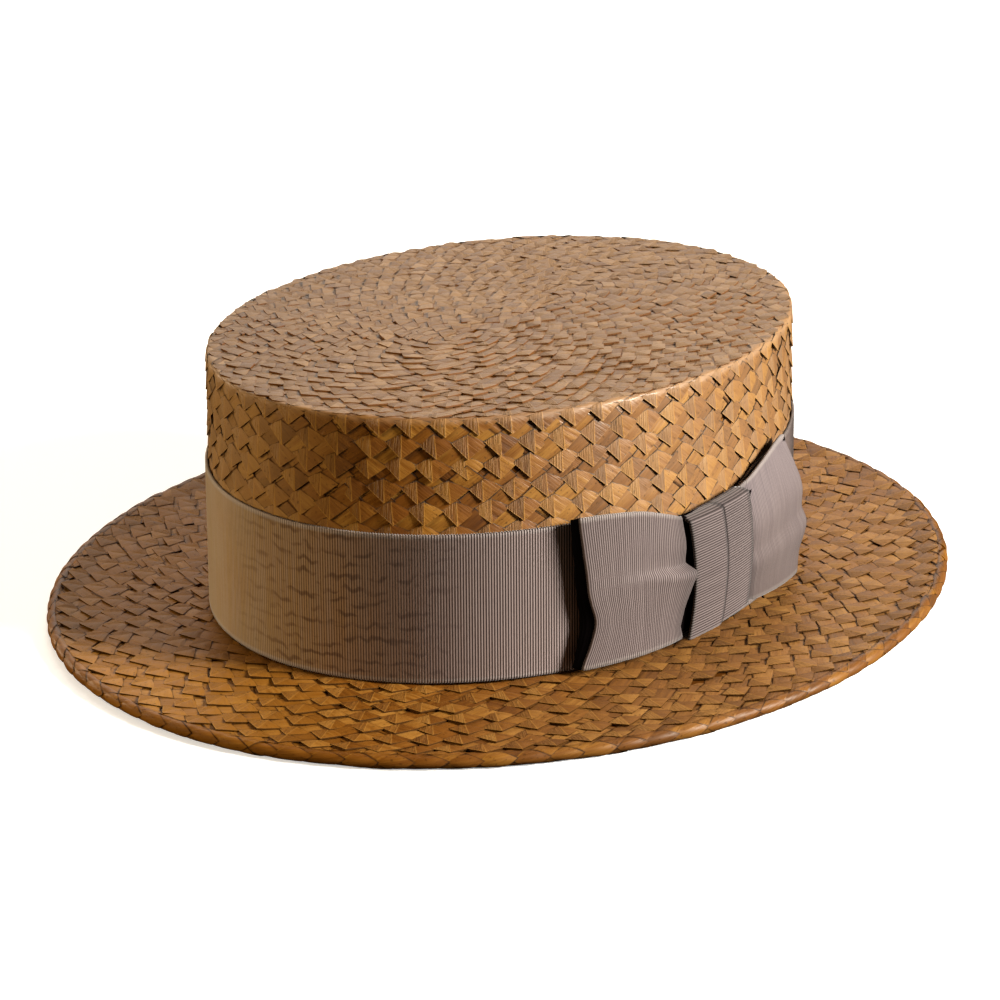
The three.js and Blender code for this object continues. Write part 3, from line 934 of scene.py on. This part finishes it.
FRONT_FOLD = [
    {"up": 0, "shift": 0.6, "crease": 0},
    {"up": 0.15, "shift": 2.0, "crease": 0.2},
    {"up": 0.3, "shift": 2.9, "crease": 0.5},
    {"up": 0.45, "shift": 2.0, "crease": 1},
    {"up": 0.535, "shift": 1.6, "crease": 1.25},
    {"up": 0.575, "shift": 1.5, "crease": -0.3},
    {"up": 0.75, "shift": 0.9, "crease": 0.1},
    {"up": 1, "shift": 0.1, "crease": 0},
]
FRONT_LIP = [(0, -1.2), (0.1, -1.8), (0.25, -1.2), (0.45, 0), (0.54, 0.6), (0.6, -0.4), (0.8, -0.8),
             (1, -1.6)]
FRONT_LOOP = [
    {"angle": -0.8, "out": 2.3, "bottom": 10, "top": 45},
    {"angle": -11, "out": 2.3, "bottom": 10, "top": 45},
    {"angle": -15, "out": 2.0, "bottom": 8, "top": 48},
    {"angle": -22, "out": 2.0, "bottom": 7, "top": 50.6, "edge": 0.5},
    {"angle": -28, "out": 1.9, "bottom": 5.8, "top": 51, "edge": 0.5},
    {"angle": -29.9, "out": 1.9, "bottom": 5.8, "top": 51.2, "edge": 0.6},
    {"angle": -30, "out": 2.9, "bottom": 5.8, "top": 51.6, "edge": 0.8},
    {"angle": -29.3, "out": 4.2, "bottom": 5.7, "top": 52.4, "edge": 1},
    {"angle": -28.9, "out": 5, "bottom": 5.8, "top": 52.6, "edge": 1},
    {"angle": -24, "out": 5.4, "bottom": 6.2, "top": 52.4, "edge": 0.6, "ridge": 0.15},
    {"angle": -18, "out": 5.7, "bottom": 6.7, "top": 51, "edge": 0.2, "ridge": 0.6},
    {"angle": -11.8, "out": 5.9, "bottom": 7.6, "top": 47.8, "ridge": 1.7, "lip": 0.5, "shade": 0.08},
    {"angle": -8.9, "out": 5.5, "bottom": 8.2, "top": 46.2, "ridge": 2.1, "lip": 1, "shade": 0.5},
    {"angle": -8.5, "out": 4.2, "bottom": 9, "top": 45.6, "ridge": 1, "lip": 1},
    {"angle": -6.5, "out": 3.6, "bottom": 10, "top": 44},
    {"angle": -0.8, "out": 3.6, "bottom": 11, "top": 43},
]
# Spans of stations painted with the near-black shade material
FRONT_SHADED = [(0, 7.35), (12.5, 99)]
BACK_FOLD = [
    {"up": 0, "shift": -1.5, "crease": -0.3},
    {"up": 0.16, "shift": -1.3, "crease": 0.2},
    {"up": 0.31, "shift": 1.4, "crease": 1.2},
    {"up": 0.42, "shift": 0.6, "crease": -0.1},
    {"up": 0.6, "shift": -1.3, "crease": 0.7},
    {"up": 0.75, "shift": -3.2, "crease": -0.6},
    {"up": 1, "shift": -6.5, "crease": -3.6},
]
BACK_LOOP = [
    {"angle": 0.2, "out": 5.15, "bottom": 11, "top": 44, "ridge": 0.6, "shade": 0.5},
    {"angle": 7, "out": 5.2, "bottom": 10, "top": 46.6, "ridge": 0.85, "shade": 0.25},
    {"angle": 9, "out": 5.4, "bottom": 9.4, "top": 47.6, "ridge": 0.85, "shade": 0.05},
    {"angle": 18, "out": 5.4, "bottom": 7.6, "top": 52, "edge": 0.2, "ridge": 0.9},
    {"angle": 26.5, "out": 5.3, "bottom": 6.3, "top": 53, "edge": 0.9, "ridge": 1},
    {"angle": 29, "out": 4.8, "bottom": 5.9, "top": 53, "edge": 1, "ridge": 0.9},
    {"angle": 29.8, "out": 3.6, "bottom": 5.7, "top": 52.6, "edge": 1, "ridge": 0.5},
    {"angle": 29, "out": 2.6, "bottom": 5.7, "top": 51.6, "edge": 1, "ridge": 0.2},
    {"angle": 26.5, "out": 2.0, "bottom": 6.3, "top": 49, "edge": 0.9},
    {"angle": 18, "out": 1.8, "bottom": 7.6, "top": 46, "edge": 0.2},
    {"angle": 11, "out": 2.0, "bottom": 9, "top": 44.5},
    {"angle": 7.4, "out": 3.6, "bottom": 10, "top": 44},
    {"angle": 0.2, "out": 3.6, "bottom": 10, "top": 44},
]
BACK_LIP = [(0, 0), (1, 0)]
BACK_SHADED = [(7, 99)]
LOOP_MIDDLE_HEIGHT = 28.0
LOOP_LEVELS = 49


def beside_crown(degrees, out, z):
    return ring_points(np.radians(degrees), out + taper_at(z), z)


def bow_loop(name, stations, fold, lip, shaded, paint):
    """Folded loop of ribbon, ribbed across, with the fold's dents.

    shaded holds the spans of stations painted with the near-black shade material. paint's shade, a painted
    shade, runs from the lower to the upper edge.
    """
    names = ("angle", "out", "bottom", "top", "edge", "ridge", "lip", "shade")
    table = np.array([[row.get(k, 0) for k in names] for row in stations])
    place = np.linspace(0, len(stations) - 1, 4000)
    fine = smooth_rows(table, place)
    line = beside_crown(fine[:, 0], fine[:, 1], np.full(len(fine), LOOP_MIDDLE_HEIGHT))
    run = np.concatenate([[0], np.cumsum(np.linalg.norm(np.diff(line, axis=0), axis=1))])
    ribs = round(run[-1] / LOOP_RIB)
    columns = ribs * RIB_COLUMNS + 1
    at = np.interp(np.linspace(0, run[-1], columns), run, place)
    angle, out, bottom, top, edge, ridge, lipped, shade = smooth_rows(table, at).T[:, :, None]
    shape = np.array([[row[k] for k in ("up", "shift", "crease")] for row in fold])
    levels = np.linspace(0, 1, LOOP_LEVELS)
    _, shift, crease = smooth_rows(shape, np.interp(levels, shape[:, 0], np.arange(len(shape)))).T
    z = bottom + (top - bottom) * levels
    grid = beside_crown(angle + edge * shift + lipped * read_off(lip, levels), out + ridge * crease, z)
    dark = np.zeros(len(at), int)
    for first, last in shaded:
        dark[(at >= first) & (at <= last)] = 1
    gloom = np.interp(levels, np.linspace(0, 1, len(paint["shade"])), paint["shade"])
    paint = {**paint, "shade": np.clip(shade + gloom, 0, 0.9)}
    return ribbon_piece(name, grid, np.arange(columns) / RIB_COLUMNS, levels, False, [BOW, SHADE],
                        paint, LOOP_RIB_DEPTH, dark)


# Knot: degrees and distance off the crown across it, height and depth round it, and its shade across
KNOT_LEFT, KNOT_RIGHT = -8.9, 5.2
KNOT_FOOT, KNOT_TALL = 8.3, 38.6
KNOT_BACK, KNOT_DEPTH = 1.2, 4.2
KNOT_WAIST = 1.4
KNOT_ACROSS = [(-8.9, 6.3), (-5.5, 6.8), (-2.4, 7.2), (-1.9, 6.9), (-1.7, 6.4), (2, 6.6), (5.2, 6.5)]
KNOT_WRAP = [(8.5, 0.9), (9.4, 1), (19, 1), (28, 1), (37, 1), (46, 1), (46.9, 0.9), (47.1, 0.45),
             (46.4, 0.08), (44.8, 0), (28, 0), (10.4, 0), (8.8, 0.08), (8.2, 0.45), (8.5, 0.9)]
KNOT_SHADE = [(-8.9, 0.5), (-8.2, 0.26), (-2.6, 0.2), (-2.0, 0.8), (-1.7, 0.8), (-1.2, 0.3), (4.2, 0.26),
              (5.2, 0.85)]
KNOT_PLEAT = [-2.4, -2.1, -1.9, -1.7]


def bow_knot():
    """Ribbon wrapped once round the loops, its ribs lying level, with one upright pleat."""
    wrap = np.array(KNOT_WRAP, float)
    place = np.linspace(0, len(wrap) - 1, 3000)
    fine = smooth_rows(wrap, place)
    steps = np.hypot(np.diff(fine[:, 0]), np.diff(fine[:, 1]) * KNOT_DEPTH)
    run = np.concatenate([[0], np.cumsum(steps)])
    ribs = round(run[-1] / KNOT_RIB)
    columns = ribs * RIB_COLUMNS
    at = np.interp(np.arange(columns) / columns * run[-1], run, place)
    z, depth = smooth_rows(wrap, at).T[:, :, None]
    up = (z - KNOT_FOOT) / KNOT_TALL
    waist = KNOT_WAIST * depth * np.sin(np.pi * np.clip(up, 0, 1))
    levels = np.unique(np.concatenate([np.linspace(KNOT_LEFT, KNOT_RIGHT, 28), KNOT_PLEAT]))
    across = (levels - KNOT_LEFT) / (KNOT_RIGHT - KNOT_LEFT)
    lean = (1 - across) * (-1.3 - 1.7 * up) + across * (2 - 2.5 * up)
    out = KNOT_BACK + depth * (read_off(KNOT_ACROSS, levels) - KNOT_BACK)
    grid = beside_crown(levels + waist, out, z + lean)
    paint = {"stain": 0.4, "shade": read_off(KNOT_SHADE, levels), "ribbing": 0.9}
    return ribbon_piece("ribbon_knot", grid, np.arange(columns + 1) / RIB_COLUMNS, across, True, [BOW],
                        paint, KNOT_RIB_DEPTH)


# Camera, light and floor

def camera():
    az, el, roll = (math.radians(v) for v in (CAMERA_AZIMUTH, CAMERA_ELEVATION, CAMERA_ROLL))
    back = Vector((math.sin(az) * math.cos(el), -math.cos(az) * math.cos(el), math.sin(el)))
    right = Vector((math.cos(az), math.sin(az), 0))
    up = back.cross(right)
    turned = right * math.cos(roll) + up * math.sin(roll)
    upright = up * math.cos(roll) - right * math.sin(roll)
    data = bpy.data.cameras.new("camera")
    data.lens = CAMERA_LENS
    data.sensor_width = CAMERA_SENSOR
    data.sensor_fit = "HORIZONTAL"
    data.shift_x = CAMERA_SHIFT
    obj = bpy.data.objects.new("camera", data)
    bpy.context.scene.collection.objects.link(obj)
    place = Vector((0, 0, CAMERA_TARGET_HEIGHT * MM)) + back * CAMERA_DISTANCE * MM
    obj.matrix_world = Matrix.Translation(place) @ Matrix((turned, upright, back)).transposed().to_4x4()
    bpy.context.scene.camera = obj


def softbox(name, bearing, elevation, distance, size, power, colour, glints=True):
    """bearing is in degrees from +X towards +Y; a light without glints only fills the shade."""
    a, e = math.radians(bearing), math.radians(elevation)
    place = Vector((math.cos(a) * math.cos(e), math.sin(a) * math.cos(e), math.sin(e))) * distance
    data = bpy.data.lights.new(name, "AREA")
    data.shape = "DISK"
    data.size = size
    data.energy = power
    data.color = colour
    obj = bpy.data.objects.new(name, data)
    bpy.context.scene.collection.objects.link(obj)
    obj.matrix_world = Matrix.Translation(place) @ place.to_track_quat("Z", "Y").to_matrix().to_4x4()
    obj.visible_camera = False
    obj.visible_glossy = glints


def lights():
    """Soft studio light, warmer from the left and behind, in a dim warm room that gives no glints."""
    softbox("key", 22.5, 26, distance=1.6, size=0.5, power=85, colour=(1.0, 0.95, 0.88))
    softbox("overhead", 128, 52, distance=1.6, size=1.2, power=10, colour=(1.0, 0.95, 0.86))
    softbox("backdrop", 138, 22, distance=1.8, size=1.6, power=9.5, colour=(1.0, 0.96, 0.9))
    softbox("rim", -172, 16, distance=1.6, size=0.5, power=9.5, colour=(1.0, 0.78, 0.54))
    softbox("left", -118, 17, distance=1.6, size=0.8, power=22, colour=(1.0, 0.84, 0.6), glints=False)
    world = bpy.data.worlds.new("room")
    world.use_nodes = True
    g = Graph(world.node_tree)
    sky = g.node("ShaderNodeBackground", None, {"Color": rgb(1.0, 0.85, 0.62), "Strength": 0.1})
    g.node("ShaderNodeOutputWorld", None, {"Surface": sky["Background"]})
    world.cycles_visibility.glossy = False
    bpy.context.scene.world = world
    bpy.context.scene.view_settings.view_transform = "Standard"


def floor():
    """Pale floor that glows, more with distance, and gives no light back to the hat."""
    half = 4
    mesh = bpy.data.meshes.new("floor")
    mesh.from_pydata([(-half, -half, 0), (half, -half, 0), (half, half, 0), (-half, half, 0)], [],
                     [(0, 1, 2, 3)])
    material, g = new_material("floor")
    x, y, _ = g.parts(g.node("ShaderNodeTexCoord")["Object"])
    away = (x * x + y * y).root()
    glow = g.mix(away.step(0.5, 1.5), rgb(0.4, 0.4, 0.4), rgb(1.0, 1.0, 1.0))
    finish_material(g, rgb(0.86, 0.86, 0.86), 0.9, g.node("ShaderNodeNewGeometry")["Normal"],
                    {"Emission Color": glow, "Emission Strength": 1.0})
    mesh.materials.append(material)
    obj = piece_object("floor", mesh)
    obj.visible_diffuse = False
    obj.visible_glossy = False


# Putting the hat together

def straw_pieces():
    side_units = unit_collection("side_unit", 0, plait_unit, pitch=SIDE_PITCH, relief=0.55, lap=0.42,
                                 wobble=0.28, swell=0.3)
    flat_units = unit_collection("flat_unit", 50, plait_unit, pitch=BRIM_PITCH, relief=0.6, lap=0.5,
                                 wobble=0.45, swell=0.8)
    top_units = unit_collection("top_unit", 70, plait_unit, pitch=TOP_PITCH / TOP_SCALE, relief=0.4, lap=0.4,
                                wobble=0.4, swell=0.7)
    roll_units = unit_collection("roll_unit", 90, roll_unit, wobble=0.3)
    edge = -EDGE_RADIUS - CROWN_TAPER
    narrowest = -HALF_WIDTH + 2.5
    flat = BRIM_WIDTH - ROLL_WIDTH
    side = [(FIRST_SIDE_ROW + k * SIDE_PITCH, -CROWN_TAPER, 1.0) for k in range(SIDE_ROWS)]
    top = [(FIRST_TOP_ROW - k * TOP_PITCH, max(edge + FIRST_TOP_ROW - k * TOP_PITCH, narrowest), 0.8)
           for k in range(TOP_ROWS)]
    brim = [(BRIM_PITCH * (k + 0.4), BRIM_PITCH * (k + 0.4), 0.8) for k in range(BRIM_ROWS)]
    under = [(BRIM_PITCH * (k + 0.4), flat - BRIM_PITCH * (k + 0.4), 0.6) for k in range(BRIM_ROWS)]
    inside = [(SIDE_PITCH * (k + 0.5), -3.0, 0.5) for k in range(INSIDE_ROWS)]
    inside += [(CROWN_HEIGHT + SIDE_PITCH * k, max(-6.0 - SIDE_PITCH * k, narrowest), 0.5)
               for k in range(INSIDE_ROWS)]
    roll = [(-0.6, BRIM_WIDTH, 1.0)]
    return {
        "side": plait_piece("crown_side_plait", side, over_crown, side_units, STRAW, 1,
                            limits=(-NO_LIMIT, SIDE_END), slip=0.18),
        "top": plait_piece("crown_top_plait", top, over_crown, top_units, FLAT_STRAW, 2,
                           askew=0.05, slip=0.2, scale=TOP_SCALE),
        "inside": plait_piece("crown_inside_plait", inside, inside_crown, flat_units, BRIM_STRAW, 3,
                              limits=(1.6, NO_LIMIT)),
        "brim": plait_piece("brim_plait", brim, over_brim, flat_units, BRIM_STRAW, 4,
                            limits=(0.2, flat + 2.9), askew=0.04, slip=0.25),
        "under": plait_piece("brim_under_plait", under, under_brim, flat_units, BRIM_STRAW, 5,
                             limits=(0.2, flat)),
        "roll": plait_piece("rolled_edge", roll, round_roll, roll_units, ROLLED, 6, askew=0.02, slip=0.1),
        "crown_backing": crown_shell(),
        "brim_backing": brim_shell(),
        "roll_core": roll_core(),
    }


straw = straw_pieces()
band = hatband()
front_loop = bow_loop("ribbon_loop_front", FRONT_LOOP, FRONT_FOLD, FRONT_LIP, FRONT_SHADED, {
    "stain": 0.45, "ribbing": 0.9, "shade": [0.08, 0.08, 0.0, 0.0, 0.0]})
back_loop = bow_loop("ribbon_loop_back", BACK_LOOP, BACK_FOLD, BACK_LIP, BACK_SHADED, {
    "stain": np.linspace(0.6, 0.0, LOOP_LEVELS), "ribbing": 0.45, "shade": [0.48, 0.4, 0.26, 0.12, 0.08]})
knot = bow_knot()

for label, piece in straw.items():
    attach(piece, "root")
for label in ("side", "top", "inside", "crown_backing"):
    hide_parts("crown")
for label in ("brim", "under", "brim_backing"):
    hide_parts("brim")
for label in ("roll", "roll_core"):
    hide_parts("brim_edge")
for piece, node in ((band, "hatband"), (front_loop, "bow_loop_front"), (back_loop, "bow_loop_back"),
                    (knot, "bow_knot")):
    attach(piece, "root")
    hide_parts(node)

camera()
lights()
floor()
